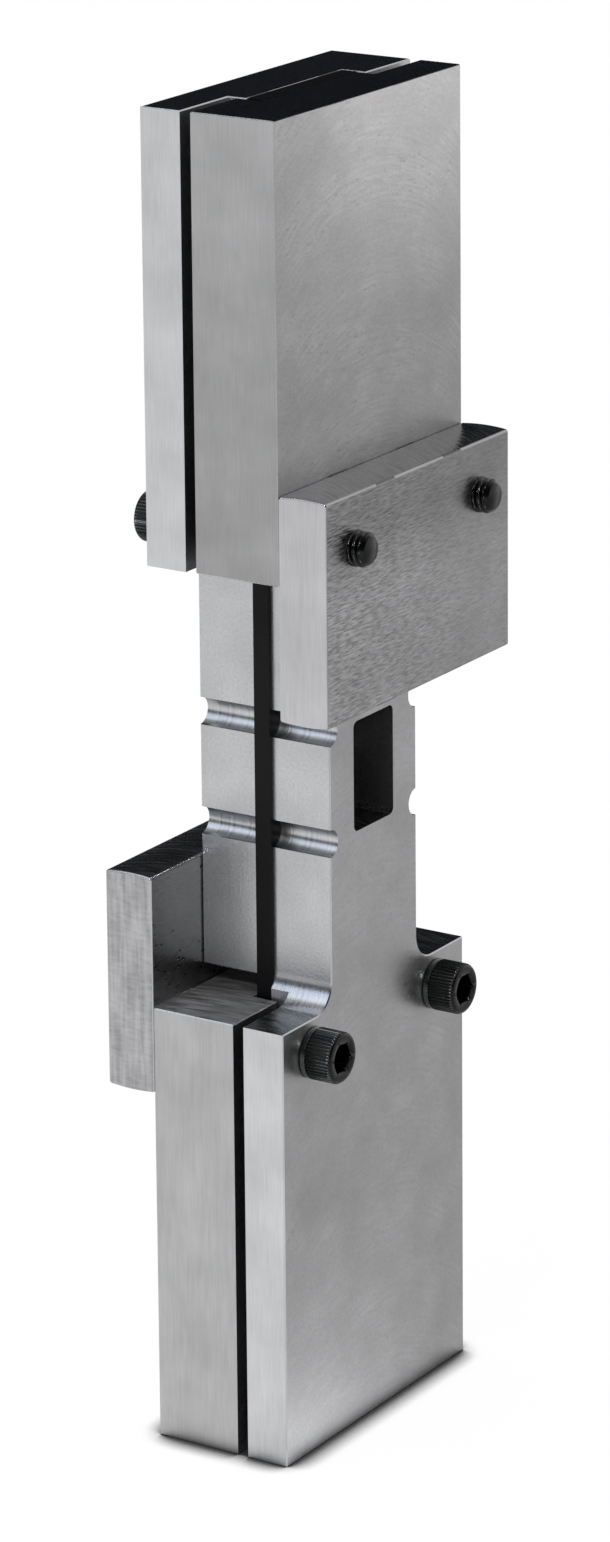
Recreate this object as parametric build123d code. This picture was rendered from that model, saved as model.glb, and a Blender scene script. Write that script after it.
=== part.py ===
"""Open-hole compression test fixture with a laminate coupon clamped in it.

Two equal halves face each other along a flat coupon. Each half is a long grip,
a short grip, a support plate and two socket head cap screws. The long grip's
narrow extension reaches past mid-height and is backed by the other half's
support plate, so the coupon can't buckle while the halves close on it.

Frame, in millimetres: X across the width, -Y the side with the lower screw
heads, +Z up, origin at the middle of the base.
"""
import os

from build123d import *

# Coupon
coupon_length = 304.8
coupon_width = 38.1
coupon_thickness = 4.0
coupon_hole_diameter = 6.35

# Wide part of the grips
grip_width = 76.2
grip_height = 101.6
grip_thickness = 15.0
thin_ear_thickness = 10.3
ear_gap = 2.7
land_clearance = 0.35
ledge_clearance = 0.8
edge_break = 0.25

# Long grip's extension, its shoulders, side grooves and window
coupon_stand_out = 1.05
shoulder_radius = 6.35
closing_gap = 4.5
groove_diameter = 6.35
gauge_length = 25.4
window_width = 16.5
window_height = 25.4
window_corner_radius = 1.5

# Support plate
plate_thickness = 12.2
plate_height = 50.0
plate_overlap = 19.9
plate_crown = 0.4
plate_corner_radius = 0.7
plate_running_gap = 0.1

# Socket head cap screws
screw_diameter = 7.94
screw_length = 50.0
screw_hole_clearance = 0.45
screw_edge_distance = 12.1
screw_drop = 7.6
head_diameter = 11.7
head_height = 7.94
head_chamfer = 0.55
socket_across_flats = 6.35
socket_depth = 4.0
screw_end_chamfer = 0.9

# Places that follow from the sizes above
half_coupon = coupon_thickness / 2
long_face = half_coupon + grip_thickness
short_face = long_face + plate_running_gap
thin_ear_face = long_face - thin_ear_thickness
thick_ear_face = thin_ear_face - ear_gap
land_half_width = coupon_width / 2 + land_clearance
extension_half_width = coupon_width / 2 - coupon_stand_out
long_grip_length = coupon_length - grip_height - closing_gap
mid_height = coupon_length / 2
plate_bottom = grip_height - plate_overlap
screw_height = grip_height - screw_drop
half_width = grip_width / 2
screw_x = half_width - screw_edge_distance


def outline_xz(face, y_from, y_to):
    """Extrude a face drawn in X and Z from one Y to another."""
    placed = Plane.XZ.offset(-y_from) * face
    return extrude(placed, amount=y_from - y_to)


def cylinder_y(diameter, x, z, y_from, y_to):
    """A cylinder along Y."""
    centre = Location((x, (y_from + y_to) / 2, z), (90, 0, 0))
    return centre * Cylinder(diameter / 2, y_to - y_from)


def section_xy(points, height):
    """Extrude a section drawn in X and Y upwards from the base."""
    return extrude(make_face(Polyline(*points, close=True)), amount=height)


def edges_at(shape, axis, place):
    """The straight or curved edges that lie in one plane square to an axis."""
    return shape.edges().filter_by_position(axis, place, place, inclusive=(True, True))


def break_edges(shape, axis, *places):
    """Break the sharp edges that lie in planes square to an axis."""
    for place in places:
        shape = chamfer(edges_at(shape, axis, place), edge_break)
    return shape


def drill_screws(piece, diameter, y_from, y_to):
    """Take the two screw holes out of a piece."""
    for x in (-screw_x, screw_x):
        piece -= cylinder_y(diameter, x, screw_height, y_from, y_to)
    return piece


def long_grip():
    """Wide plate with a stepped inner face and a narrow extension above it."""
    reach = 2 * short_face
    wide = Pos(0, grip_height / 2) * Rectangle(grip_width, grip_height)
    narrow = Pos(0, long_grip_length / 2) * Rectangle(2 * extension_half_width, long_grip_length)
    outline = wide + narrow
    shoulders = [
        corner
        for corner in outline.vertices()
        if abs(corner.Y - grip_height) < 0.01 and abs(corner.X) < half_width - 0.01
    ]
    outline = fillet(shoulders, shoulder_radius)
    front_view = outline_xz(outline, -reach, reach)
    section = section_xy(
        [
            (-half_width, -long_face),
            (half_width, -long_face),
            (half_width, thick_ear_face),
            (land_half_width, thick_ear_face),
            (land_half_width, -half_coupon),
            (-land_half_width, -half_coupon),
            (-land_half_width, -thin_ear_face),
            (-half_width, -thin_ear_face),
        ],
        long_grip_length,
    )
    grip = front_view & section
    grip = break_edges(grip, Axis.Y, -long_face)
    grip = break_edges(grip, Axis.Z, 0, long_grip_length)

    opening = RectangleRounded(window_width, window_height, window_corner_radius)
    grip -= outline_xz(Pos(0, mid_height) * opening, -reach, reach)
    for x in (-extension_half_width, extension_half_width):
        for z in (mid_height - gauge_length / 2, mid_height + gauge_length / 2):
            grip -= cylinder_y(groove_diameter, x, z, -reach, reach)
    return drill_screws(grip, screw_diameter + screw_hole_clearance, -reach, reach)


def short_grip():
    """Block that closes on the coupon opposite the wide part of the long grip."""
    reach = 2 * short_face
    ledge_x = -land_half_width - ledge_clearance
    land_x = land_half_width - ledge_clearance
    grip = section_xy(
        [
            (-half_width, short_face),
            (-half_width, -thick_ear_face),
            (ledge_x, -thick_ear_face),
            (ledge_x, half_coupon),
            (land_x, half_coupon),
            (land_x, thin_ear_face),
            (half_width, thin_ear_face),
            (half_width, short_face),
        ],
        grip_height,
    )
    grip = break_edges(grip, Axis.Y, short_face)
    grip = break_edges(grip, Axis.Z, 0, grip_height)
    return drill_screws(grip, screw_diameter + screw_hole_clearance, -reach, reach)


def support_plate():
    """Flat bar with crowned long edges, tapped for the two screws."""
    inner = short_face
    outer = short_face + plate_thickness
    middle = (inner + outer) / 2
    low, high = plate_bottom, plate_bottom + plate_height
    section = make_face(
        [
            Line((inner, low), (inner, high)),
            ThreePointArc((inner, high), (middle, high + plate_crown), (outer, high)),
            Line((outer, high), (outer, low)),
            ThreePointArc((outer, low), (middle, low - plate_crown), (inner, low)),
        ]
    )
    section = fillet(section.vertices(), plate_corner_radius)
    placed = Plane.YZ.offset(-half_width) * section
    plate = break_edges(extrude(placed, amount=grip_width), Axis.X, -half_width, half_width)
    return drill_screws(plate, screw_diameter, inner - plate_thickness, outer + plate_thickness)


def cap_screw(x):
    """Socket head cap screw, its head on the long grip's outer face."""
    seat = -long_face
    tip = seat + screw_length
    crown = seat - head_height
    shank = cylinder_y(screw_diameter, x, screw_height, seat, tip)
    shank = chamfer(edges_at(shank, Axis.Y, tip), screw_end_chamfer)
    head = cylinder_y(head_diameter, x, screw_height, crown, seat)
    head = chamfer(edges_at(head, Axis.Y, crown), head_chamfer)
    socket_radius = socket_across_flats / 3**0.5
    hexagon = Pos(x, screw_height) * RegularPolygon(socket_radius, 6)
    socket = outline_xz(hexagon, crown - head_height, crown + socket_depth)
    return head + shank - socket


def coupon():
    """Flat laminate bar with the hole that the test is named after."""
    bar = Pos(0, 0, mid_height) * Box(coupon_width, coupon_thickness, coupon_length)
    return bar - cylinder_y(
        coupon_hole_diameter, 0, mid_height, -coupon_thickness, coupon_thickness
    )


def turned_over(shape):
    """The upper half's copy: the lower piece turned half round about the X direction."""
    return Pos(0, 0, coupon_length) * Rot(180, 0, 0) * shape


def build():
    lower = {
        "long_grip": long_grip(),
        "short_grip": short_grip(),
        "support_plate": support_plate(),
        "screw_left": cap_screw(-screw_x),
        "screw_right": cap_screw(screw_x),
    }
    pieces = {"test_coupon": coupon()}
    for name, shape in lower.items():
        pieces["lower_" + name] = shape
        pieces["upper_" + name] = turned_over(shape)
    return pieces


if __name__ == "__main__":
    os.makedirs("parts", exist_ok=True)
    for node, solid in build().items():
        export_step(solid, f"parts/{node}.step")
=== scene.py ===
"""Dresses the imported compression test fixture: screws, steel, laminate and studio.

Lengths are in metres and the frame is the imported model's: X across the width,
-Y the side with the lower screw heads, +Z up, origin at the middle of the base.
"""
import math
from typing import NamedTuple

import bmesh
import bpy
from mathutils import Color, Matrix, Vector


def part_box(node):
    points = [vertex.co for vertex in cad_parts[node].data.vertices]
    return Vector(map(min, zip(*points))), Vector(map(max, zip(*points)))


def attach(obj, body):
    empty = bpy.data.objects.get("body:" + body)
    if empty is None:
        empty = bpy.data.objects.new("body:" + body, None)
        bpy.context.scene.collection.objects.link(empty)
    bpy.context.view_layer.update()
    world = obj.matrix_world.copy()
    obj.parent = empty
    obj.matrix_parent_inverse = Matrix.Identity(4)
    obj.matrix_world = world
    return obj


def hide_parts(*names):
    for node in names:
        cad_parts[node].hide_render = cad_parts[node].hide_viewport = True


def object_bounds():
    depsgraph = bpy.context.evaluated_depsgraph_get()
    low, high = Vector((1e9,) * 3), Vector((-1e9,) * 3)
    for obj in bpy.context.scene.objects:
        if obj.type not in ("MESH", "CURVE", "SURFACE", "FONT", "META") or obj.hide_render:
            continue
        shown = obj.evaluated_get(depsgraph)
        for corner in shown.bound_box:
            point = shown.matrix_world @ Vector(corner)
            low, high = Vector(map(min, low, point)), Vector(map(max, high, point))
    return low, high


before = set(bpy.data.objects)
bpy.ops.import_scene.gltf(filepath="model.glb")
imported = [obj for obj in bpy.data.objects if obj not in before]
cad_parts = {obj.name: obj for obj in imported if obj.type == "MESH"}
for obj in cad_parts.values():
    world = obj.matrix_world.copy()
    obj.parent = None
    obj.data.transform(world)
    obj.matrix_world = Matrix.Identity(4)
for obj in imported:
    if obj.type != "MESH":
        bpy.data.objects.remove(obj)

bl_info = {
    "name": "Compression fixture looks",
    "version": (1, 0, 0),
    "blender": (4, 5, 0),
    "location": "3D View > Sidebar > Fixture",
    "description": "Screws, finishes and studio for the open-hole compression fixture",
    "category": "Object",
}

cad_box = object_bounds()
MM = 0.001

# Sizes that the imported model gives
head_low, tip_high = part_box("lower_screw_left")
right_low, right_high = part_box("lower_screw_right")
SEAT_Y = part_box("lower_long_grip")[0].y
MID_HEIGHT = (cad_box[0].z + cad_box[1].z) / 2
SCREW_X = (right_low.x + right_high.x) / 2
SCREW_Z = (head_low.z + tip_high.z) / 2

# Vertices round the screw's head and round its shank, and rows of them along one pitch
HEAD_STEPS = 240
SHANK_STEPS = 60
ROWS_PER_PITCH = 16

# Profile of the screw's head, in mm: how far inside its radius, and how far from its crown
# or from its bearing face. The ribs end in a step over twice the last length.
CROWN_PROFILE = ((0.85, 0.0), (0.70, 0.04), (0.36, 0.26), (0.10, 0.60), (0.0, 0.95), (0.0, 1.2))
FOOT_PROFILE = ((0.02, 0.42), (0.14, 0.15), (0.38, 0.0))
RIB_STEP = 0.02 * MM

# Limits that tell surfaces apart by their distance from the planes X = 0 and Y = 0
GROOVE_X, GROOVE_REACH = 13.9 * MM, 3.8 * MM  # the grooves lie within this reach of this X
EXTENSION_X = 18.1 * MM  # the extensions' sides lie inside it
GAP_X, GAP_Y = 19.3 * MM, 7 * MM  # the gap beside the coupon lies outside X and inside Y
PLATE_IN, PLATE_OUT = 20 * MM, 22 * MM  # both lie between the plates' inner and outer faces
THREAD_Y = 27 * MM  # the screws' heads end inside it, and their threads stand out past it

# From one groove to the next
GROOVE_SPACING = 25.4 * MM

# A face's mask goes from 0 to 1 while its normal's part along the axis goes between these
FACING_LOW, FACING_HIGH = 0.90, 0.99

# Nearly all values of a noise lie between these
NOISE_LOW, NOISE_HIGH = 0.3, 0.7

# Level direction in which the front faces mirror the room; and along it, from the fixture's
# middle, where the paper starts to fade and where the table starts to get paler and is palest
RIGHT_FRONT = (0.84, -0.54)
PAPER_FADES, TABLE_FADES, TABLE_PALE = -0.06, 0.5, 2.2


def length(name, description, default):
    """A property for a length in metres."""
    return bpy.props.FloatProperty(
        name=name, description=description, default=default, min=0.0, precision=5, unit="LENGTH"
    )


def share(name, description, default):
    """A property for a number from 0 to 1."""
    return bpy.props.FloatProperty(
        name=name, description=description, default=default, min=0.0, max=1.0, subtype="FACTOR"
    )


def angle(name, description, degrees):
    """A property for an angle, given in degrees."""
    return bpy.props.FloatProperty(
        name=name, description=description, default=math.radians(degrees), subtype="ANGLE"
    )


def power(name, description, watts):
    """A property for a lamp's power."""
    return bpy.props.FloatProperty(
        name=name, description=description, default=watts, min=0.0, unit="POWER"
    )


def linear(code):
    """The linear colour of an sRGB hex value."""
    parts = [int(code[i : i + 2], 16) / 255 for i in (1, 3, 5)]
    return [c / 12.92 if c <= 0.04045 else ((c + 0.055) / 1.055) ** 2.4 for c in parts]


def colour(name, description, code):
    """A property for a colour, given as an sRGB hex value."""
    return bpy.props.FloatVectorProperty(
        name=name, description=description, default=linear(code), size=3, min=0, max=1,
        subtype="COLOR",
    )


class ScrewSizes(bpy.types.PropertyGroup):
    head_diameter: length("Head diameter", "Across the knurled head", tip_high.x - head_low.x)
    head_height: length("Head height", "From the bearing face to the crown", SEAT_Y - head_low.y)
    diameter: length("Thread diameter", "Across the thread's crests", 7.94 * MM)
    reach: length("Length", "From the bearing face to the tip", tip_high.y - SEAT_Y)
    spacing: length("Spacing", "Between the two screws of a half", 2 * SCREW_X)
    pitch: length("Pitch", "From one thread to the next", 25.4 / 18 * MM)
    thread_depth: length("Thread depth", "From crest to root", 0.80 * MM)
    thread_length: length("Thread length", "From the tip to the plain shank", 28.6 * MM)
    tip_chamfer: length("Tip chamfer", "Along and across the tip's edge", 1.1 * MM)
    socket: length("Socket", "Across the hex socket's flats", 6.35 * MM)
    socket_depth: length("Socket depth", "From the crown", 4.0 * MM)
    rib_depth: length("Rib depth", "From the top of a knurl rib to its foot", 0.36 * MM)
    band: length("Plain band", "Smooth part of the head next to the bearing face", 1.5 * MM)
    ribs: bpy.props.IntProperty(
        name="Ribs", description="Knurl ribs round a head, drawn coarser", default=48, min=12
    )
    turn: angle("Turn", "How much further the left screw is turned than the right", 6)


class SteelLook(bpy.types.PropertyGroup):
    ground: colour("Ground steel", "Long grips, surface ground", "#cacbcd")
    milled: colour("Milled steel", "Short grips, face milled", "#b3b3b4")
    bar: colour("Bar steel", "Support plates, cold drawn and blasted", "#b4b4b6")
    # The wide faces near the outer ends are painted paler: partly the jaws' wear, partly painted
    # sheen
    jaw_wear_and_sheen: share("Burnish", "How much paler the jaws have rubbed the wide faces", 0.50)
    jaw_grip: length("Jaw grip", "Height of the part that the jaws hold", 55 * MM)
    roughness: share("Roughness", "Of a satin face", 0.34)
    milled_roughness: share("Milled roughness", "Of the short grips' inner ends", 0.56)
    shoulder_roughness: share("Shoulder roughness", "Of the other inner ends", 0.26)
    end_roughness: share("End roughness", "Of the outer ends, ground square", 0.15)
    curve_roughness: share("Curve roughness", "Of the end-milled fillets", 0.26)
    groove_roughness: share("Groove roughness", "Of the end-milled grooves", 0.32)
    # Painted shade on the upper short grip's sides
    dull: share("Dull sides", "How much darker the upper short grip's sides are", 0.20)
    grain: length("Grain", "Width of one grinding line", 0.30 * MM)
    grain_length: length("Grain length", "Length of one grinding line", 9 * MM)
    blotch: length("Blotch", "Size of the clouds in the satin finish", 13 * MM)
    stroke: length("Stroke", "Height of one short stroke of the bar's skin", 0.42 * MM)
    pit: length("Pit", "From one pit of the bar's skin to the next", 1.7 * MM)
    arc_radius: length("Arc radius", "Radius of the face cutter's arcs", 55 * MM)
    arc_pitch: length("Arc pitch", "From one arc of the face cutter to the next", 0.9 * MM)
    edge: length("Edge", "Rounding of the steel's edges", 0.10 * MM)


class BlackLook(bpy.types.PropertyGroup):
    oxide: colour("Black oxide", "Screws", "#232524")
    rubbed: colour("Rubbed oxide", "Crests of the ribs and threads", "#8c8e8d")
    laminate: colour("Laminate", "Carbon fibre coupon", "#070709")
    ply: length("Ply", "Thickness of one ply of the coupon", 0.25 * MM)


class StageLook(bpy.types.PropertyGroup):
    floor_size: length("Floor", "Side of the floor", 16.0)
    floor: colour("Floor colour", "Pale floor", "#f6f6f6")
    floor_lift: share("Floor lift", "Share of the floor that is plain white", 0.95)
    contact: length("Contact shadow", "Width of the dark line round the base", 9 * MM)
    wall: colour("Room wall", "Dark wall that steel reflects", "#0c0f16")
    ceiling: colour("Ceiling", "Pale ceiling that steel reflects", "#d0d0d0")
    ceiling_edge: angle("Ceiling edge", "Height above the horizon at which the ceiling starts", 42)
    ceiling_full: angle("Full ceiling", "Height above the horizon at which it is brightest", 80)
    panel: colour("Panel", "Pale panel at the right front that steel reflects", "#e7e5e5")
    panel_edge: share("Panel edge", "Cosine of its angle from the right front", 0.55)
    panel_full: share("Full panel", "Cosine of the angle from there to its full light", 0.80)
    table: colour("Table", "Floor past the white paper, as steel reflects it", "#b0aeae")
    paper: length("Paper", "From the fixture to the paper's edge at the right front", 0.05)
    room_light: share("Room light", "Strength of the plain light from all round", 1.0)
    side_light: power("Side light", "Soft box behind the left side", 2.6)
    side_colour: colour("Side light colour", "Daylight, a little cool", "#e6f0ff")
    key_light: power("Key light", "Small bright lamp at the upper left", 5.0)
    aim_height: length("Aim height", "Height of the point that the camera looks at", 0.248)
    distance: length("Camera distance", "From that point", 1.242)
    azimuth: angle("Azimuth", "Camera's turn round the fixture", -57.36)
    elevation: angle("Elevation", "Camera above the horizon", 13.30)
    roll: angle("Roll", "Camera's lean", -0.515)
    lens: bpy.props.FloatProperty(
        name="Lens", description="Focal length on a 36 mm sensor", default=132.2, unit="CAMERA"
    )
    shift: bpy.props.FloatProperty(
        name="Shift", description="Of the frame, in lengths of its long side", default=-0.28
    )


GROUPS = {
    "fixture_screws": ScrewSizes,
    "fixture_steel": SteelLook,
    "fixture_black": BlackLook,
    "fixture_stage": StageLook,
}


def set_inputs(tree, node, inputs):
    """Fill a node's inputs, each with a plain value or the node or socket that feeds it."""
    for key, value in inputs.items():
        if isinstance(value, bpy.types.Node):
            value = next(socket for socket in value.outputs if socket.enabled)
        if isinstance(value, bpy.types.NodeSocket):
            tree.links.new(value, node.inputs[key])
        else:
            node.inputs[key].default_value = value


def add_node(tree, kind, inputs=None, **settings):
    """One node with its settings and inputs.

    Map Range takes 1 to 2 over into 3 to 4. Mix goes from 2 to 3, or from colour 6 to
    colour 7, as its input 0 goes from 0 to 1.
    """
    node = tree.nodes.new(kind)
    for key, value in settings.items():
        setattr(node, key, value)
    set_inputs(tree, node, inputs or {})
    return node


def new_material(name):
    """An empty material, its tree and its main shader, which already feeds the output."""
    material = bpy.data.materials.new(name)
    material.use_nodes = True
    tree = material.node_tree
    tree.nodes.clear()
    shader = add_node(tree, "ShaderNodeBsdfPrincipled")
    add_node(tree, "ShaderNodeOutputMaterial", {"Surface": shader})
    return material, tree, shader


class SteelKind(NamedTuple):
    """What sets one kind of steel piece apart from the others."""

    slot: str
    plain: Color
    roughness: float
    inner_roughness: float
    arcs: float  # how much the face cutter's arcs show
    skin: float  # how much of a drawn bar's skin is left
    # How much painted shade the upper half's sides get, away from the jaws; below 0 it is painted
    # light
    dull: float  # how much darker the upper half's sides are; below 0 they are paler
    # Painted shade on the inner ends: how much darker they are
    inner_shade: float  # how much darker the inner ends are
    bar: float = 0.0  # 1 for the bar that the plates were sawn from


class SteelSurfaces:
    """Nodes that say where a point of the steel is, and masks of its surfaces from 0 to 1."""

    def __init__(self, tree):
        coordinates = add_node(tree, "ShaderNodeTexCoord").outputs
        self.place = coordinates["Object"]
        self.at = add_node(tree, "ShaderNodeSeparateXYZ", {0: self.place}).outputs
        normal = add_node(
            tree, "ShaderNodeVectorMath", {0: coordinates["Normal"]}, operation="ABSOLUTE"
        )
        facing = add_node(tree, "ShaderNodeSeparateXYZ", {0: normal}).outputs
        sideways, self.wide, self.end = [
            add_node(tree, "ShaderNodeMapRange", {0: part, 1: FACING_LOW, 2: FACING_HIGH})
            for part in facing
        ]
        self.cut = add_node(tree, "ShaderNodeMath", {0: self.wide, 1: self.end}, operation="ADD")
        uncut = add_node(tree, "ShaderNodeMath", {0: 1.0, 1: self.cut}, operation="SUBTRACT")
        off_middle, off_centre = [
            add_node(tree, "ShaderNodeMath", {0: part}, operation="ABSOLUTE")
            for part in self.at[:2]
        ]
        self.from_middle = add_node(
            tree, "ShaderNodeMath", {0: self.at[2], 1: MID_HEIGHT}, operation="SUBTRACT"
        )
        self.distance = add_node(
            tree, "ShaderNodeMath", {0: self.from_middle}, operation="ABSOLUTE"
        )
        self.above = add_node(
            tree, "ShaderNodeMath", {0: self.from_middle, 1: 0.0}, operation="GREATER_THAN"
        )

        # The grooves' floors face sideways too, but they were end-milled like the fillets
        deep = add_node(
            tree,
            "ShaderNodeMath",
            {0: off_middle, 1: GROOVE_X, 2: GROOVE_REACH},
            operation="COMPARE",
        )
        self.grooved = add_node(tree, "ShaderNodeMath", {0: deep, 1: uncut}, operation="MULTIPLY")
        past_groove = add_node(
            tree, "ShaderNodeMath", {0: 1.0, 1: self.grooved}, operation="SUBTRACT"
        )
        self.side = add_node(
            tree, "ShaderNodeMath", {0: sideways, 1: past_groove}, operation="MULTIPLY"
        )
        self.curved = add_node(
            tree, "ShaderNodeMath", {0: uncut, 1: self.side}, operation="SUBTRACT"
        )
        # The extensions' sides were milled and blasted, the other sides ground
        narrow = add_node(
            tree, "ShaderNodeMath", {0: off_middle, 1: EXTENSION_X}, operation="LESS_THAN"
        )
        self.blasted = add_node(
            tree, "ShaderNodeMath", {0: self.side, 1: narrow}, operation="MULTIPLY"
        )
        self.ground = add_node(
            tree, "ShaderNodeMath", {0: self.side, 1: self.blasted}, operation="SUBTRACT"
        )
        self.upper_side = add_node(
            tree, "ShaderNodeMath", {0: self.above, 1: self.side}, operation="MULTIPLY"
        )
        self.lower_side = add_node(
            tree, "ShaderNodeMath", {0: self.side, 1: self.upper_side}, operation="SUBTRACT"
        )

        # The outer ends lie at the top and the base, the inner ends between them
        self.outer = add_node(
            tree,
            "ShaderNodeMath",
            {0: self.distance, 1: MID_HEIGHT - 1 * MM},
            operation="GREATER_THAN",
        )
        inner = add_node(tree, "ShaderNodeMath", {0: 1.0, 1: self.outer}, operation="SUBTRACT")
        flat_end = add_node(tree, "ShaderNodeMapRange", {0: facing[2], 1: 0.985, 2: 0.995})
        self.inner_end = add_node(
            tree, "ShaderNodeMath", {0: flat_end, 1: inner}, operation="MULTIPLY"
        )

        # The plates' outer faces, and the gap beside the coupon
        self.outside = add_node(
            tree, "ShaderNodeMapRange", {0: off_centre, 1: PLATE_IN, 2: PLATE_OUT}
        )
        beside = add_node(
            tree, "ShaderNodeMath", {0: off_middle, 1: GAP_X}, operation="GREATER_THAN"
        )
        between = add_node(tree, "ShaderNodeMath", {0: off_centre, 1: GAP_Y}, operation="LESS_THAN")
        gap = add_node(tree, "ShaderNodeMath", {0: beside, 1: between}, operation="MULTIPLY")
        self.gap = add_node(tree, "ShaderNodeMath", {0: gap, 1: self.wide}, operation="MULTIPLY")


def steel_patterns(tree, look, on):
    """Noises, stretched as the tool or the rolling mill left its marks."""
    # Arcs of the face cutter: fed along Z on the wide faces, along X on the ends
    feed = add_node(tree, "ShaderNodeMix", {0: on.end, 2: on.at[2], 3: on.at[0]}, data_type="FLOAT")
    across = add_node(
        tree, "ShaderNodeMix", {0: on.end, 2: on.at[0], 3: on.at[1]}, data_type="FLOAT"
    )
    square = add_node(tree, "ShaderNodeMath", {0: across, 1: across}, operation="MULTIPLY")
    height = add_node(
        tree, "ShaderNodeMath", {0: look.arc_radius**2, 1: square}, operation="SUBTRACT"
    )
    drop = add_node(tree, "ShaderNodeMath", {0: height}, operation="SQRT")
    arc = add_node(tree, "ShaderNodeMath", {0: feed, 1: drop}, operation="SUBTRACT")
    arc_place = add_node(tree, "ShaderNodeCombineXYZ", {0: arc, 1: across, 2: on.at[1]})
    sizes = {
        "arcs": (look.arc_pitch, 8 * MM, 20 * MM),
        "grain": (look.grain, look.grain, look.grain_length),
        "haze": (0.6 * MM, 0.6 * MM, 0.6 * MM),
        "mill": (1.0, 0.7 * MM, 1.0),
        "streaks": (20 * MM, 1.3 * MM, 14 * MM),
        "strokes": (6 * look.stroke, 9 * MM, look.stroke),
        "saw": (20 * MM, 3.2 * MM, 0.9 * MM),
        "clouds": (look.blotch, look.blotch, look.blotch),
    }
    patterns = {}
    for name, size in sizes.items():
        place = arc_place if name == "arcs" else on.place
        scale = tuple(1 / part for part in size)
        scaled = add_node(tree, "ShaderNodeVectorMath", {0: place, 1: scale}, operation="MULTIPLY")
        patterns[name] = add_node(
            tree, "ShaderNodeTexNoise", {"Vector": scaled, "Scale": 1.0, "Detail": 3.0}
        )
    return patterns


def pitted_marks(tree, look, kind, on, patches, marks):
    """The marks with the bar's pits on its wide faces; the plates' outer ones lost most pits."""
    place = add_node(
        tree,
        "ShaderNodeVectorMath",
        {0: on.place, 1: (0.5 / look.pit, 0.5 / look.pit, 1 / look.pit)},
        operation="MULTIPLY",
    )
    cells = add_node(tree, "ShaderNodeTexVoronoi", {"Vector": place, "Scale": 1.0})
    pits = add_node(tree, "ShaderNodeMapRange", {0: cells.outputs["Distance"], 1: 0.26, 2: 0.16})
    pits = add_node(tree, "ShaderNodeMath", {0: pits, 1: patches}, operation="MULTIPLY")
    dark = add_node(tree, "ShaderNodeMath", {0: pits, 1: -0.60 * kind.skin}, operation="MULTIPLY")
    left_on = add_node(tree, "ShaderNodeMapRange", {0: on.outside, 3: 1.0, 4: 0.15})
    pitted = add_node(tree, "ShaderNodeMath", {0: on.wide, 1: left_on}, operation="MULTIPLY")
    return add_node(
        tree, "ShaderNodeMath", {0: dark, 1: pitted, 2: marks}, operation="MULTIPLY_ADD"
    )


def steel_marks(tree, look, kind, on, patterns):
    """Brightness of the steel's fine marks, round 1; it also serves as their height."""
    # The cutter's arcs and the pits lie in patches
    patches = add_node(tree, "ShaderNodeMapRange", {0: patterns["clouds"], 1: 0.44, 2: 0.60})
    patchy = add_node(tree, "ShaderNodeMapRange", {0: patches, 3: 0.35, 4: 1.0})
    arced = add_node(tree, "ShaderNodeMath", {0: on.cut, 1: patchy}, operation="MULTIPLY")

    # The bar's strokes are deepest on its outer faces and at its left end
    worn = add_node(
        tree, "ShaderNodeMapRange", {0: on.at[0], 1: -30 * MM, 2: 25 * MM, 3: 1.0, 4: 0.32}
    )
    skin = add_node(tree, "ShaderNodeMapRange", {0: on.outside, 3: 0.35, 4: 1.0})
    stroked = add_node(tree, "ShaderNodeMath", {0: skin, 1: worn}, operation="MULTIPLY")
    stroked = add_node(tree, "ShaderNodeMath", {0: stroked, 1: on.wide}, operation="MULTIPLY")

    # How much each pattern lightens and darkens the steel, and on which faces
    marks = 1.0
    for name, mask, weight in (
        ("arcs", arced, kind.arcs),
        ("grain", on.ground, 0.07),
        ("haze", on.blasted, 0.10),
        ("haze", on.wide, 0.06 * (1 - kind.bar)),
        ("mill", on.curved, 0.18),
        ("streaks", on.side, 0.04 * kind.skin),
        ("streaks", on.lower_side, 0.20 * kind.skin),
        ("saw", on.lower_side, 0.12 * kind.bar),
        ("arcs", on.inner_end, 0.22),
        ("strokes", stroked, 0.05 + 0.33 * kind.skin),
    ):
        signed = add_node(
            tree,
            "ShaderNodeMapRange",
            {0: patterns[name], 1: NOISE_LOW, 2: NOISE_HIGH, 3: -weight, 4: weight},
        )
        marks = add_node(
            tree, "ShaderNodeMath", {0: signed, 1: mask, 2: marks}, operation="MULTIPLY_ADD"
        )
    return pitted_marks(tree, look, kind, on, patches, marks)


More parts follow.
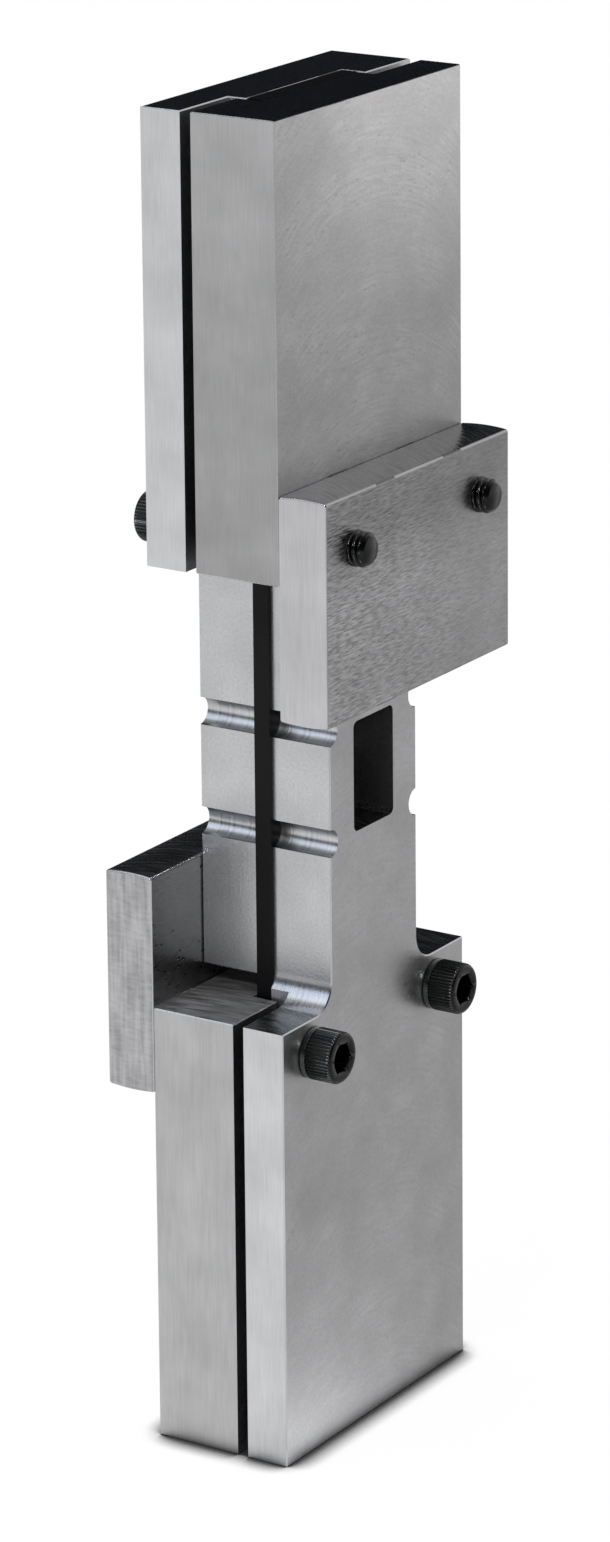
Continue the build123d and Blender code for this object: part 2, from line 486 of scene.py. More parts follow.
def steel_shade(tree, look, kind, on, clouds):
    """Brightness of the steel's surfaces, round 1, apart from their fine marks, with painted sheen
    and painted shade in it.
    """
    in_jaws = add_node(
        tree, "ShaderNodeMapRange", {0: on.distance, 1: MID_HEIGHT - look.jaw_grip, 2: MID_HEIGHT}
    )
    past_jaws = add_node(tree, "ShaderNodeMath", {0: 1.0, 1: in_jaws}, operation="SUBTRACT")
    # Painted shade on the upper half's sides outside the jaws' part; where dull is below 0, as on
    # the plates, painted light
    painted_upper_side_shade = add_node(
        tree, "ShaderNodeMath", {0: on.upper_side, 1: past_jaws}, operation="MULTIPLY"
    )
    # The wide faces near the outer ends are painted paler: partly the jaws' wear, partly painted
    # sheen, which is strongest on the left side below and on the right side above
    lower_half_sheen = add_node(
        tree, "ShaderNodeMapRange", {0: on.at[0], 1: -28 * MM, 2: 28 * MM, 3: 1.05, 4: 0.05}
    )
    upper_half_sheen = add_node(
        tree, "ShaderNodeMapRange", {0: on.at[0], 1: -32 * MM, 2: 0.0, 3: 0.25, 4: 1.3}
    )
    sheen_by_half = add_node(
        tree, "ShaderNodeMix", {0: on.above, 2: lower_half_sheen, 3: upper_half_sheen}, data_type="FLOAT"
    )
    rubbed = add_node(tree, "ShaderNodeMath", {0: in_jaws, 1: on.wide}, operation="MULTIPLY")
    rubbed = add_node(tree, "ShaderNodeMath", {0: rubbed, 1: sheen_by_half}, operation="MULTIPLY")
    shade = add_node(
        tree, "ShaderNodeMapRange", {0: clouds, 1: NOISE_LOW, 2: NOISE_HIGH, 3: 0.92, 4: 1.08}
    )
    for mask, paler in (
        (rubbed, look.jaw_wear_and_sheen),
        (painted_upper_side_shade, -kind.dull),
        # The plates' lower sides are painted darker as shade
        (on.lower_side, -0.12 * kind.bar),
    ):
        shade = add_node(
            tree, "ShaderNodeMath", {0: mask, 1: paler, 2: shade}, operation="MULTIPLY_ADD"
        )

    # Blasting left the extensions' sides darker; the plates' inner faces are painted darker as
    # shade, and their wide faces are painted darker away from the middle, near their screws
    blast = add_node(tree, "ShaderNodeMapRange", {0: on.blasted, 3: 1.0, 4: 0.87})
    painted_inner_face_shade = add_node(tree, "ShaderNodeMapRange", {0: on.outside, 3: 1 - 0.42 * kind.bar, 4: 1.0})
    painted_inner_face_shade = add_node(tree, "ShaderNodeMix", {0: on.wide, 2: 1.0, 3: painted_inner_face_shade}, data_type="FLOAT")
    for factor in (blast, painted_inner_face_shade):
        shade = add_node(tree, "ShaderNodeMath", {0: shade, 1: factor}, operation="MULTIPLY")
    # Painted shade: the plates' wide faces get darker away from the middle, near the screws
    painted_edge_shade = add_node(
        tree, "ShaderNodeMapRange", {0: on.distance, 1: 46 * MM, 2: 63 * MM, 4: -0.32 * kind.bar}
    )
    painted_edge_shade = add_node(tree, "ShaderNodeMath", {0: painted_edge_shade, 1: on.wide}, operation="MULTIPLY")
    shade = add_node(tree, "ShaderNodeMath", {0: shade, 1: painted_edge_shade}, operation="ADD")

    # Painted shade under the upper edge of each groove, in the gap beside the coupon and on the
    # inner ends
    in_groove = add_node(
        tree, "ShaderNodeMath", {0: on.from_middle, 1: GROOVE_SPACING, 2: 0.0}, operation="WRAP"
    )
    painted_groove_shade = add_node(
        tree, "ShaderNodeMapRange", {0: in_groove, 1: 12.5 * MM, 2: 15.2 * MM, 3: 1.0, 4: 0.40}
    )
    painted_groove_shading = add_node(tree, "ShaderNodeMix", {0: on.grooved, 2: 1.0, 3: painted_groove_shade}, data_type="FLOAT")
    # Painted shade on the inner ends
    painted_inner_end_shade = add_node(
        tree, "ShaderNodeMapRange", {0: on.inner_end, 3: 1.0, 4: 1 - kind.inner_shade}
    )
    # Painted shade in the gap beside the coupon
    painted_gap_shade = add_node(tree, "ShaderNodeMapRange", {0: on.gap, 3: 1.0, 4: 0.65})
    for factor in (painted_groove_shading, painted_inner_end_shade, painted_gap_shade):
        shade = add_node(tree, "ShaderNodeMath", {0: shade, 1: factor}, operation="MULTIPLY")
    return shade


def steel(look, kind):
    """Alloy steel with a satin machined finish.

    The grinding wheel leaves fine lines along Z and faint clouds, the face cutter leaves
    shallow arcs on the wide faces and swirls on the inner ends, and the end mill leaves
    lines round the fillets and grooves. The extensions' sides were blasted after milling.
    The outer ends were ground finer, so they mirror more of the room, and the wide faces near
    them are painted paler, partly as the testing machine's jaws' wear and partly as painted sheen.
    The bar that the plates are sawn from keeps some pits, short strokes and drawing streaks, and
    the plates' inner faces are painted darker as shade.
    """
    material, tree, shader = new_material(kind.slot)
    on = SteelSurfaces(tree)
    patterns = steel_patterns(tree, look, on)
    marks = steel_marks(tree, look, kind, on, patterns)
    shade = steel_shade(tree, look, kind, on, patterns["clouds"])
    value = add_node(tree, "ShaderNodeMath", {0: marks, 1: shade}, operation="MULTIPLY")
    tinted = add_node(tree, "ShaderNodeHueSaturation", {"Color": (*kind.plain, 1), "Value": value})
    end_roughness = add_node(
        tree,
        "ShaderNodeMix",
        {0: on.outer, 2: kind.inner_roughness, 3: look.end_roughness},
        data_type="FLOAT",
    )
    satin = kind.roughness
    for mask, roughness in (
        (on.end, end_roughness),
        (on.curved, look.curve_roughness),
        (on.grooved, look.groove_roughness),
    ):
        satin = add_node(
            tree, "ShaderNodeMix", {0: mask, 2: satin, 3: roughness}, data_type="FLOAT"
        )
    matt = add_node(tree, "ShaderNodeMath", {0: satin, 1: marks}, operation="MULTIPLY")
    bump = add_node(
        tree, "ShaderNodeBump", {"Strength": 1.0, "Distance": 0.08 * MM, "Height": marks}
    )
    set_inputs(
        tree, shader, {"Base Color": tinted, "Roughness": matt, "Normal": bump, "Metallic": 1.0}
    )
    return material


def black_oxide(look):
    """Alloy steel blackened in hot salts and oiled, rubbed paler on its ribs and threads."""
    material, tree, shader = new_material("black_oxide_steel")
    place = add_node(tree, "ShaderNodeTexCoord").outputs
    mottle = add_node(
        tree,
        "ShaderNodeTexNoise",
        {"Vector": place["Object"], "Scale": 1 / (0.7 * MM), "Detail": 3.0},
    )
    shade, satin = [
        add_node(
            tree, "ShaderNodeMapRange", {0: mottle, 1: NOISE_LOW, 2: NOISE_HIGH, 3: low, 4: high}
        )
        for low, high in ((0.85, 1.15), (0.24, 0.36))
    ]
    # The rolled threads' crests, outside the plates, are rounder than the knurl's
    at = add_node(tree, "ShaderNodeSeparateXYZ", {0: place["Object"]}).outputs
    off_centre = add_node(tree, "ShaderNodeMath", {0: at[1]}, operation="ABSOLUTE")
    threaded = add_node(
        tree, "ShaderNodeMath", {0: off_centre, 1: THREAD_Y}, operation="GREATER_THAN"
    )
    convex = add_node(tree, "ShaderNodeNewGeometry").outputs["Pointiness"]
    rib_crest = add_node(tree, "ShaderNodeMapRange", {0: convex, 1: 0.52, 2: 0.60})
    thread_crest = add_node(tree, "ShaderNodeMapRange", {0: convex, 1: 0.50, 2: 0.54})
    crest = add_node(
        tree, "ShaderNodeMix", {0: threaded, 2: rib_crest, 3: thread_crest}, data_type="FLOAT"
    )
    # Only the round parts are rubbed, not the crown and the tip, which face along Y
    facing = add_node(tree, "ShaderNodeSeparateXYZ", {0: place["Normal"]}).outputs
    endwise = add_node(tree, "ShaderNodeMath", {0: facing[1]}, operation="ABSOLUTE")
    round_part = add_node(tree, "ShaderNodeMapRange", {0: endwise, 1: 0.52, 2: 0.36})
    crest = add_node(tree, "ShaderNodeMath", {0: crest, 1: round_part}, operation="MULTIPLY")
    rubbed = add_node(
        tree,
        "ShaderNodeMix",
        {0: crest, 6: (*look.oxide, 1), 7: (*look.rubbed, 1)},
        data_type="RGBA",
    )
    tinted = add_node(tree, "ShaderNodeHueSaturation", {"Color": rubbed, "Value": shade})
    set_inputs(tree, shader, {"Base Color": tinted, "Roughness": satin, "Metallic": 1.0})
    set_inputs(tree, shader, {"Coat Weight": 0.35, "Coat Roughness": 0.22})
    return material


def carbon_laminate(look):
    """Cured carbon fibre and epoxy: black, with fine ply lines on its sawn edges."""
    material, tree, shader = new_material("carbon_laminate")
    place = add_node(tree, "ShaderNodeTexCoord").outputs["Object"]
    at = add_node(tree, "ShaderNodeSeparateXYZ", {0: place}).outputs
    plies = add_node(tree, "ShaderNodeMath", {0: at[1], 1: look.ply}, operation="PINGPONG")
    line = add_node(tree, "ShaderNodeMapRange", {0: plies, 1: 0.0, 2: look.ply, 3: 0.7, 4: 1.3})
    tinted = add_node(
        tree, "ShaderNodeHueSaturation", {"Color": (*look.laminate, 1), "Value": line}
    )
    fibres = add_node(
        tree, "ShaderNodeTexNoise", {"Vector": place, "Scale": 1 / (0.4 * MM), "Detail": 2.0}
    )
    satin = add_node(
        tree, "ShaderNodeMapRange", {0: fibres, 1: NOISE_LOW, 2: NOISE_HIGH, 3: 0.38, 4: 0.52}
    )
    set_inputs(
        tree, shader, {"Base Color": tinted, "Roughness": satin, "Specular IOR Level": 0.15}
    )
    return material


def link_mesh(name, mesh):
    """A new object with this mesh, in the scene."""
    piece = bpy.data.objects.new(name, mesh)
    bpy.context.scene.collection.objects.link(piece)
    return piece


def evaluated_mesh(piece):
    """A plain mesh of the piece with its modifiers in it."""
    ready = piece.evaluated_get(bpy.context.evaluated_depsgraph_get())
    return bpy.data.meshes.new_from_object(ready)


def round_ring(bm, steps, radius, y):
    """Vertices of one ring round the Y axis; radius may depend on the angle from Z."""
    ring = []
    for i in range(steps):
        a = math.tau * i / steps
        r = radius(a) if callable(radius) else radius
        ring.append(bm.verts.new((r * math.sin(a), y, r * math.cos(a))))
    return ring


def bridge(bm, first, second):
    """Faces between two rings; the first may hold several vertices for each of the second."""
    ratio = len(first) // len(second)
    for i, corner in enumerate(second):
        outer = [first[(i * ratio + k) % len(first)] for k in range(ratio + 1)]
        bm.faces.new([second[(i + 1) % len(second)], corner, *outer])


def close_end(bm, ring, y):
    """A fan of faces from the ring to a point on the axis."""
    centre = bm.verts.new((0, y, 0))
    for i, corner in enumerate(ring):
        bm.faces.new([centre, corner, ring[(i + 1) % len(ring)]])


def head_rings(sizes):
    """Radius and height of the head's rings, from the socket's floor to the bearing face."""
    head = sizes.head_diameter / 2
    crown = -sizes.head_height
    floor = crown + sizes.socket_depth
    rib_end = -sizes.band
    sixth = math.tau / 6

    def hexagon(a):
        return sizes.socket / 2 / math.cos((a - math.tau / 4) % sixth - sixth / 2)

    return [
        (sizes.socket / 2 - 0.3 * MM, floor),
        (hexagon, floor),
        (hexagon, crown + 0.35 * MM),
        (sizes.socket / 3**0.5 + 0.1 * MM, crown),
        *[(head - inside * MM, crown + down * MM) for inside, down in CROWN_PROFILE],
        (head, rib_end - RIB_STEP),
        (head, rib_end + RIB_STEP),
        *[(head - inside * MM, -up * MM) for inside, up in FOOT_PROFILE],
    ]


def shank_rings(sizes):
    """Radius and height of the shank's rings, from the bearing face to the chamfered tip."""
    shank = sizes.diameter / 2
    plain_end = sizes.reach - sizes.thread_length
    chamfer_start = sizes.reach - sizes.tip_chamfer
    rows = round(sizes.thread_length / (sizes.pitch / ROWS_PER_PITCH))
    rings = [(shank + 0.18 * MM, 0.0), (shank, 0.2 * MM)]
    for i in range(rows + 1):
        y = plain_end + sizes.thread_length * i / rows
        rings.append((shank - max(0.0, y - chamfer_start), y))
    return rings


def screw_blank(sizes):
    """A plain turned screw on the Y axis, its bearing face at 0 and its tip at +Y."""
    bm = bmesh.new()
    rings = [round_ring(bm, HEAD_STEPS, *ring) for ring in head_rings(sizes)]
    rings += [round_ring(bm, SHANK_STEPS, *ring) for ring in shank_rings(sizes)]
    for first, second in zip(rings, rings[1:]):
        bridge(bm, first, second)
    # A drill point ends the socket
    close_end(bm, rings[0], -sizes.head_height + sizes.socket_depth + 0.9 * MM)
    close_end(bm, rings[-1], sizes.reach)
    bmesh.ops.recalc_face_normals(bm, faces=bm.faces)
    mesh = bpy.data.meshes.new("screw_blank")
    bm.to_mesh(mesh)
    bm.free()
    return mesh


def knurled_radius(tree, given, along, turns):
    """Ribs: a saw of straight flanks round the head, from its crown to the plain band."""
    rib_turns = add_node(tree, "ShaderNodeMath", {0: turns, 1: given["Ribs"]}, operation="MULTIPLY")
    wave = add_node(tree, "ShaderNodeMath", {0: rib_turns, 1: 0.5}, operation="PINGPONG")
    ribbed = add_node(
        tree, "ShaderNodeMath", {0: along, 1: given["Rib end"]}, operation="LESS_THAN"
    )
    part = add_node(tree, "ShaderNodeMath", {0: wave, 1: ribbed}, operation="MULTIPLY")
    whole = add_node(tree, "ShaderNodeMath", {0: part, 1: 2.0}, operation="MULTIPLY")
    cut = add_node(tree, "ShaderNodeMath", {0: whole, 1: given["Rib depth"]}, operation="MULTIPLY")
    return add_node(tree, "ShaderNodeMath", {0: given["Head radius"], 1: cut}, operation="SUBTRACT")


def threaded_radius(tree, given, along, turns):
    """Thread: a right-hand rolled helix with round crests, which fades into the plain shank."""
    climb = add_node(tree, "ShaderNodeMath", {0: along, 1: given["Pitch"]}, operation="DIVIDE")
    helix = add_node(tree, "ShaderNodeMath", {0: climb, 1: turns}, operation="SUBTRACT")
    phase = add_node(tree, "ShaderNodeMath", {0: helix, 1: 0.25}, operation="SUBTRACT")
    wave = add_node(tree, "ShaderNodeMath", {0: phase, 1: 0.5}, operation="PINGPONG")
    flank = add_node(
        tree, "ShaderNodeMapRange", {0: wave, 1: 0.0, 2: 0.42}, interpolation_type="SMOOTHSTEP"
    )
    past = add_node(
        tree, "ShaderNodeMath", {0: along, 1: given["Thread start"]}, operation="SUBTRACT"
    )
    fade = add_node(tree, "ShaderNodeMapRange", {0: past, 2: given["Pitch"]})
    part = add_node(tree, "ShaderNodeMath", {0: flank, 1: fade}, operation="MULTIPLY")
    cut = add_node(
        tree, "ShaderNodeMath", {0: part, 1: given["Thread depth"]}, operation="MULTIPLY"
    )
    return add_node(
        tree, "ShaderNodeMath", {0: given["Thread radius"], 1: cut}, operation="SUBTRACT"
    )


def cut_screw(tree, given):
    """The blank, pressed in to the radius of its ribs and threads wherever it is thicker."""
    position = add_node(tree, "GeometryNodeInputPosition")
    at = add_node(tree, "ShaderNodeSeparateXYZ", {0: position}).outputs
    around = add_node(tree, "ShaderNodeMath", {0: at[0], 1: at[2]}, operation="ARCTAN2")
    turns = add_node(tree, "ShaderNodeMath", {0: around, 1: math.tau}, operation="DIVIDE")
    radial = add_node(tree, "ShaderNodeCombineXYZ", {0: at[0], 2: at[2]})
    radius = add_node(tree, "ShaderNodeVectorMath", {0: radial}, operation="LENGTH")
    radius = radius.outputs["Value"]
    head_face = knurled_radius(tree, given, at[1], turns)
    shank_face = threaded_radius(tree, given, at[1], turns)
    # The rings on the bearing face, and the fillet under it, count as head
    on_shank = add_node(tree, "ShaderNodeMath", {0: at[1], 1: 0.1 * MM}, operation="GREATER_THAN")
    limit = add_node(
        tree, "ShaderNodeMix", {0: on_shank, 2: head_face, 3: shank_face}, data_type="FLOAT"
    )
    reached = add_node(tree, "ShaderNodeMath", {0: radius, 1: limit}, operation="MINIMUM")
    deeper = add_node(tree, "ShaderNodeMath", {0: reached, 1: radius}, operation="SUBTRACT")
    outward = add_node(tree, "ShaderNodeVectorMath", {0: radial}, operation="NORMALIZE")
    offset = add_node(
        tree, "ShaderNodeVectorMath", {0: outward, "Scale": deeper}, operation="SCALE"
    )
    return add_node(
        tree, "GeometryNodeSetPosition", {"Geometry": given["Blank"], "Offset": offset}
    )


def screw_tree(numbers):
    """Geometry nodes that cut ribs and threads into the blank and set two of it in a row."""
    tree = bpy.data.node_groups.new("knurled_screw_pair", "GeometryNodeTree")
    tree.is_modifier = True
    sockets = {
        "Blank": "NodeSocketGeometry",
        **dict.fromkeys(numbers, "NodeSocketFloat"),
        "Finish": "NodeSocketMaterial",
    }
    for name, kind in sockets.items():
        tree.interface.new_socket(name, in_out="INPUT", socket_type=kind)
    tree.interface.new_socket("Screws", in_out="OUTPUT", socket_type="NodeSocketGeometry")
    given = add_node(tree, "NodeGroupInput").outputs

    cut = cut_screw(tree, given)
    half = add_node(tree, "ShaderNodeMath", {0: given["Spacing"], 1: -0.5}, operation="MULTIPLY")
    start = add_node(tree, "ShaderNodeCombineXYZ", {0: half})
    step = add_node(tree, "ShaderNodeCombineXYZ", {0: given["Spacing"]})
    line = add_node(
        tree, "GeometryNodeMeshLine", {"Count": 2, "Start Location": start, "Offset": step}
    )
    index = add_node(tree, "GeometryNodeInputIndex")
    left = add_node(tree, "ShaderNodeMath", {0: 1.0, 1: index}, operation="SUBTRACT")
    turned = add_node(tree, "ShaderNodeMath", {0: left, 1: given["Turn"]}, operation="MULTIPLY")
    euler = add_node(tree, "ShaderNodeCombineXYZ", {1: turned})
    rotation = add_node(tree, "FunctionNodeEulerToRotation", {0: euler})
    placed = add_node(
        tree,
        "GeometryNodeInstanceOnPoints",
        {"Points": line, "Instance": cut, "Rotation": rotation},
    )
    real = add_node(tree, "GeometryNodeRealizeInstances", {"Geometry": placed})
    finished = add_node(
        tree, "GeometryNodeSetMaterial", {"Geometry": real, "Material": given["Finish"]}
    )
    add_node(tree, "NodeGroupOutput", {"Screws": finished})
    return tree


class FIXTURE_OT_screws(bpy.types.Operator):
    """Build the socket head cap screws, with knurled heads and real threads"""

    bl_idname = "fixture.screws"
    bl_label = "Cap screws"

    def execute(self, context):
        sizes = context.scene.fixture_screws
        numbers = {
            "Ribs": sizes.ribs,
            "Head radius": sizes.head_diameter / 2,
            "Rib depth": sizes.rib_depth,
            "Rib end": -sizes.band,
            "Thread radius": sizes.diameter / 2,
            "Thread depth": sizes.thread_depth,
            "Pitch": sizes.pitch,
            "Thread start": sizes.reach - sizes.thread_length,
            "Spacing": sizes.spacing,
            "Turn": sizes.turn,
        }
        tree = screw_tree(numbers)
        values = {**numbers, "Finish": black_oxide(context.scene.fixture_black)}
        blank = link_mesh("screw_blank", screw_blank(sizes))
        modifier = blank.modifiers.new("Ribs and threads", "NODES")
        modifier.node_group = tree
        for item in tree.interface.items_tree:
            if item.name in values and item.in_out == "INPUT":
                modifier[item.identifier] = values[item.name]
        mesh = evaluated_mesh(blank)
        bpy.data.objects.remove(blank)
        mesh.shade_smooth()
        mesh.set_sharp_from_angle(angle=math.radians(50))

        mesh.transform(Matrix.Translation((0, SEAT_Y, SCREW_Z - MID_HEIGHT)))
        half_turn = Matrix.Rotation(math.pi, 4, "X")
        to_middle = Matrix.Translation((0, 0, MID_HEIGHT))
        for half in ("lower", "upper"):
            copy = mesh.copy()
            copy.transform(to_middle if half == "lower" else to_middle @ half_turn)
            piece = link_mesh(f"{half}_cap_screws", copy)
            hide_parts(f"{half}_screw_left", f"{half}_screw_right")
            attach(piece, f"{half}_half")
        return {"FINISHED"}


def rounded_copy(node, name, edge):
    """A copy of a packed steel node with its doubles merged and its edges rounded."""
    bm = bmesh.new()
    bm.from_mesh(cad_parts[node].data)
    bmesh.ops.remove_doubles(bm, verts=bm.verts, dist=0.001 * MM)
    bmesh.ops.dissolve_limit(
        bm, angle_limit=math.radians(0.5), verts=bm.verts, edges=bm.edges, delimit=set()
    )
    source = bpy.data.meshes.new(name)
    bm.to_mesh(source)
    bm.free()
    packed_normals = source.attributes.get("custom_normal")
    if packed_normals:
        source.attributes.remove(packed_normals)
    source.shade_smooth()
    piece = link_mesh(name, source)
    bevel = piece.modifiers.new("Edges", "BEVEL")
    bevel.width = edge
    bevel.segments = 2
    bevel.limit_method = "ANGLE"
    bevel.angle_limit = math.radians(25)
    flats = piece.modifiers.new("Flat faces stay flat", "WEIGHTED_NORMAL")
    flats.weight = 100
    piece.data = evaluated_mesh(piece)
    piece.modifiers.clear()
    return piece


class FIXTURE_OT_steel(bpy.types.Operator):
    """Give the grips and support plates their rounded edges and machined steel"""

    bl_idname = "fixture.steel"
    bl_label = "Steel grips and plates"

    def execute(self, context):
        look = context.scene.fixture_steel
        kinds = {
            "long_grip": SteelKind(
                "ground_steel", look.ground, look.roughness, look.shoulder_roughness,
                arcs=0.05, skin=0.1, dull=0.0, inner_shade=0.52,
            ),
            "short_grip": SteelKind(
                "milled_steel", look.milled, look.roughness, look.milled_roughness,
                arcs=0.09, skin=0.2, dull=look.dull, inner_shade=0.10,
            ),
            "support_plate": SteelKind(
                "bar_steel", look.bar, look.roughness - 0.03, look.shoulder_roughness,
                arcs=0.03, skin=1.0, dull=-0.13, inner_shade=0.25, bar=1.0,
            ),
        }
        for name, kind in kinds.items():
            material = steel(look, kind)
            for half in ("lower", "upper"):
                node = f"{half}_{name}"
                piece = rounded_copy(node, f"{node}_finished", look.edge)
                piece.data.materials.clear()
                piece.data.materials.append(material)
                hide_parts(node)
                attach(piece, f"{half}_half")
        return {"FINISHED"}


class FIXTURE_OT_coupon(bpy.types.Operator):
    """Give the coupon its carbon laminate"""

    bl_idname = "fixture.coupon"
    bl_label = "Laminate coupon"

    def execute(self, context):
        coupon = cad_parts["test_coupon"]
        coupon.material_slots[0].material = carbon_laminate(context.scene.fixture_black)
        return {"FINISHED"}


def area_lamp(name, watts, tint, size, location, aim):
    """A square soft box that shines from location towards aim."""
    data = bpy.data.lights.new(name, "AREA")
    data.energy, data.color, data.size = watts, tint, size
    lamp = bpy.data.objects.new(name, data)
    lamp.location = location
    lamp.rotation_euler = (Vector(aim) - Vector(location)).to_track_quat("-Z", "Y").to_euler()
    bpy.context.scene.collection.objects.link(lamp)


def floor_material(look):
    """White paper for the camera, dark where the fixture stands.

    Steel also sees the table past the paper's right front edge, which gets as pale as the
    panel at its far end.
    """
    material, tree, shader = new_material("pale_floor")
    near = add_node(tree, "ShaderNodeAmbientOcclusion", {"Distance": look.contact})
    contact = add_node(
        tree, "ShaderNodeMapRange", {0: near.outputs["AO"], 1: 0.55, 2: 0.88, 3: 0.0, 4: 1.0}
    )
    ray = add_node(tree, "ShaderNodeLightPath").outputs
    place = add_node(tree, "ShaderNodeTexCoord").outputs["Object"]
    to_front = add_node(
        tree, "ShaderNodeVectorMath", {0: place, 1: (*RIGHT_FRONT, 0)}, operation="DOT_PRODUCT"
    ).outputs["Value"]
    past = add_node(
        tree,
        "ShaderNodeMapRange",
        {0: to_front, 1: PAPER_FADES, 2: look.paper},
        interpolation_type="SMOOTHSTEP",
    )
    table = add_node(
        tree, "ShaderNodeMath", {0: past, 1: ray["Is Glossy Ray"]}, operation="MULTIPLY"
    )
    lit = add_node(tree, "ShaderNodeMapRange", {0: to_front, 1: TABLE_FADES, 2: TABLE_PALE})
    dull = add_node(
        tree, "ShaderNodeMix", {0: lit, 6: (*look.table, 1), 7: (*look.panel, 1)}, data_type="RGBA"
    )
    ground = add_node(
        tree, "ShaderNodeMix", {0: table, 6: (1, 1, 1, 1), 7: dull}, data_type="RGBA"
    )
    shown = add_node(
        tree, "ShaderNodeMix", {0: contact, 6: (0, 0, 0, 1), 7: ground}, data_type="RGBA"
    )
    plain = add_node(tree, "ShaderNodeEmission", {"Color": shown, "Strength": 1.0})
    seen = ray["Is Camera Ray"]
    for kind in ("Is Glossy Ray", "Is Transmission Ray"):
        seen = add_node(tree, "ShaderNodeMath", {0: seen, 1: ray[kind]}, operation="MAXIMUM")
    lift = add_node(tree, "ShaderNodeMath", {0: seen, 1: look.floor_lift}, operation="MULTIPLY")
    mixed = add_node(tree, "ShaderNodeMixShader", {0: lift, 1: shader, 2: plain})
    set_inputs(tree, tree.nodes["Material Output"], {"Surface": mixed})
    set_inputs(tree, shader, {"Base Color": (*look.floor, 1), "Roughness": 0.9})
    set_inputs(tree, shader, {"Specular IOR Level": 0.0})
    return material


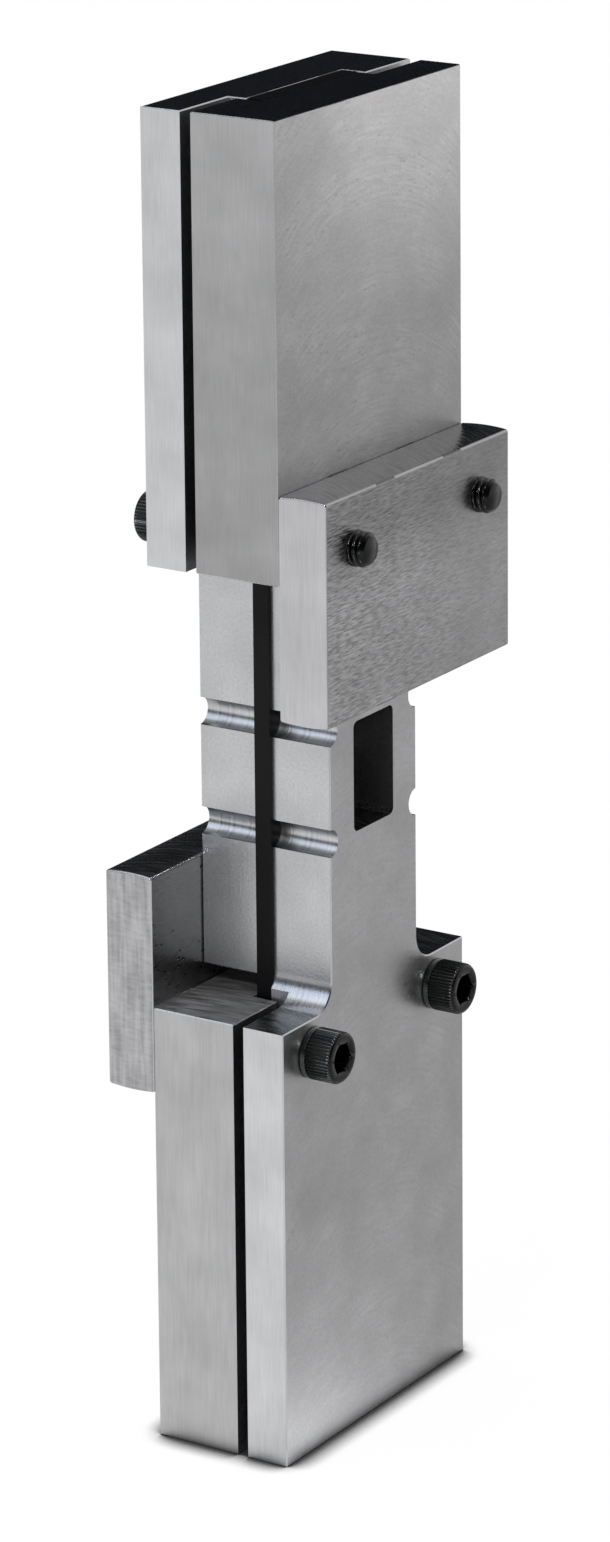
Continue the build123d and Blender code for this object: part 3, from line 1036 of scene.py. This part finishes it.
class FIXTURE_OT_stage(bpy.types.Operator):
    """Lay the pale floor and set the lamps, the room and the camera"""

    bl_idname = "fixture.stage"
    bl_label = "Studio and camera"

    def execute(self, context):
        scene, look = context.scene, context.scene.fixture_stage
        scene.view_settings.view_transform = "Standard"
        self.lay_floor(look)
        self.light_room(scene, look)
        area_lamp(
            "left_lamp", look.side_light, look.side_colour,
            size=0.8, location=(-0.62, 0.62, 0.90), aim=(0, 0, 0.12),
        )
        area_lamp(
            "key_lamp", look.key_light, (1, 1, 1),
            size=0.14, location=(-0.90, -0.08, 1.00), aim=(0, 0, 0.15),
        )
        self.set_camera(scene, look)
        return {"FINISHED"}

    def lay_floor(self, look):
        """A square floor round the fixture."""
        half = look.floor_size / 2
        mesh = bpy.data.meshes.new("floor")
        corners = [(-half, -half, 0), (half, -half, 0), (half, half, 0), (-half, half, 0)]
        mesh.from_pydata(corners, [], [(0, 1, 2, 3)])
        mesh.materials.append(floor_material(look))
        link_mesh("floor", mesh)

    def light_room(self, scene, look):
        """White for the camera; steel sees a pale panel, dark walls and a pale ceiling."""
        world = bpy.data.worlds.new("studio")
        scene.world = world
        world.use_nodes = True
        tree = world.node_tree
        tree.nodes.clear()
        ray = add_node(tree, "ShaderNodeLightPath").outputs
        place = add_node(tree, "ShaderNodeTexCoord").outputs["Generated"]
        height = add_node(tree, "ShaderNodeSeparateXYZ", {0: place}).outputs[2]
        above = add_node(
            tree,
            "ShaderNodeMapRange",
            {0: height, 1: math.sin(look.ceiling_edge), 2: math.sin(look.ceiling_full)},
        )
        walls = add_node(
            tree,
            "ShaderNodeMix",
            {0: above, 6: (*look.wall, 1), 7: (*look.ceiling, 1)},
            data_type="RGBA",
        )
        to_front = add_node(
            tree, "ShaderNodeVectorMath", {0: place, 1: (*RIGHT_FRONT, 0)}, operation="DOT_PRODUCT"
        ).outputs["Value"]
        panel = add_node(
            tree, "ShaderNodeMapRange", {0: to_front, 1: look.panel_edge, 2: look.panel_full}
        )
        room = add_node(
            tree, "ShaderNodeMix", {0: panel, 6: walls, 7: (*look.panel, 1)}, data_type="RGBA"
        )
        direct = add_node(
            tree,
            "ShaderNodeMath",
            {0: ray["Is Camera Ray"], 1: ray["Is Transmission Ray"]},
            operation="MAXIMUM",
        )
        white = add_node(tree, "ShaderNodeBackground", {"Color": (1, 1, 1, 1), "Strength": 1.0})
        mirrored = add_node(tree, "ShaderNodeBackground", {"Color": room, "Strength": 1.0})
        light = add_node(
            tree, "ShaderNodeBackground", {"Color": (1, 1, 1, 1), "Strength": look.room_light}
        )
        unseen = add_node(
            tree, "ShaderNodeMixShader", {0: ray["Is Glossy Ray"], 1: light, 2: mirrored}
        )
        background = add_node(tree, "ShaderNodeMixShader", {0: direct, 1: unseen, 2: white})
        add_node(tree, "ShaderNodeOutputWorld", {"Surface": background})

    def set_camera(self, scene, look):
        """The camera, which stands where the photograph was taken from."""
        data = bpy.data.cameras.new("camera")
        data.sensor_width, data.lens, data.shift_y = 36.0, look.lens, look.shift
        camera = bpy.data.objects.new("camera", data)
        scene.collection.objects.link(camera)
        turn = (
            Matrix.Rotation(look.azimuth, 4, "Z")
            @ Matrix.Rotation(math.pi / 2 - look.elevation, 4, "X")
            @ Matrix.Rotation(look.roll, 4, "Z")
        )
        aim = Matrix.Translation((0, 0, look.aim_height))
        camera.matrix_world = aim @ turn @ Matrix.Translation((0, 0, look.distance))
        scene.camera = camera


OPERATORS = (FIXTURE_OT_screws, FIXTURE_OT_steel, FIXTURE_OT_coupon, FIXTURE_OT_stage)


class FIXTURE_PT_looks(bpy.types.Panel):
    """Sizes, colours and buttons of the fixture's pieces"""

    bl_idname = "FIXTURE_PT_looks"
    bl_label = "Compression fixture"
    bl_space_type = "VIEW_3D"
    bl_region_type = "UI"
    bl_category = "Fixture"

    def draw(self, context):
        for operator in OPERATORS:
            self.layout.operator(operator.bl_idname)
        for name, group in GROUPS.items():
            box = self.layout.box()
            for key in group.__annotations__:
                box.prop(getattr(context.scene, name), key)


CLASSES = (*GROUPS.values(), *OPERATORS, FIXTURE_PT_looks)


def register():
    """Register the classes, and give every scene the groups of properties."""
    for item in CLASSES:
        bpy.utils.register_class(item)
    for name, group in GROUPS.items():
        setattr(bpy.types.Scene, name, bpy.props.PointerProperty(type=group))


def unregister():
    """Undo what register does."""
    for name in GROUPS:
        delattr(bpy.types.Scene, name)
    for item in reversed(CLASSES):
        bpy.utils.unregister_class(item)


def main():
    """Build everything."""
    register()
    bpy.ops.fixture.screws()
    bpy.ops.fixture.steel()
    bpy.ops.fixture.coupon()
    bpy.ops.fixture.stage()


if __name__ == "__main__":
    main()
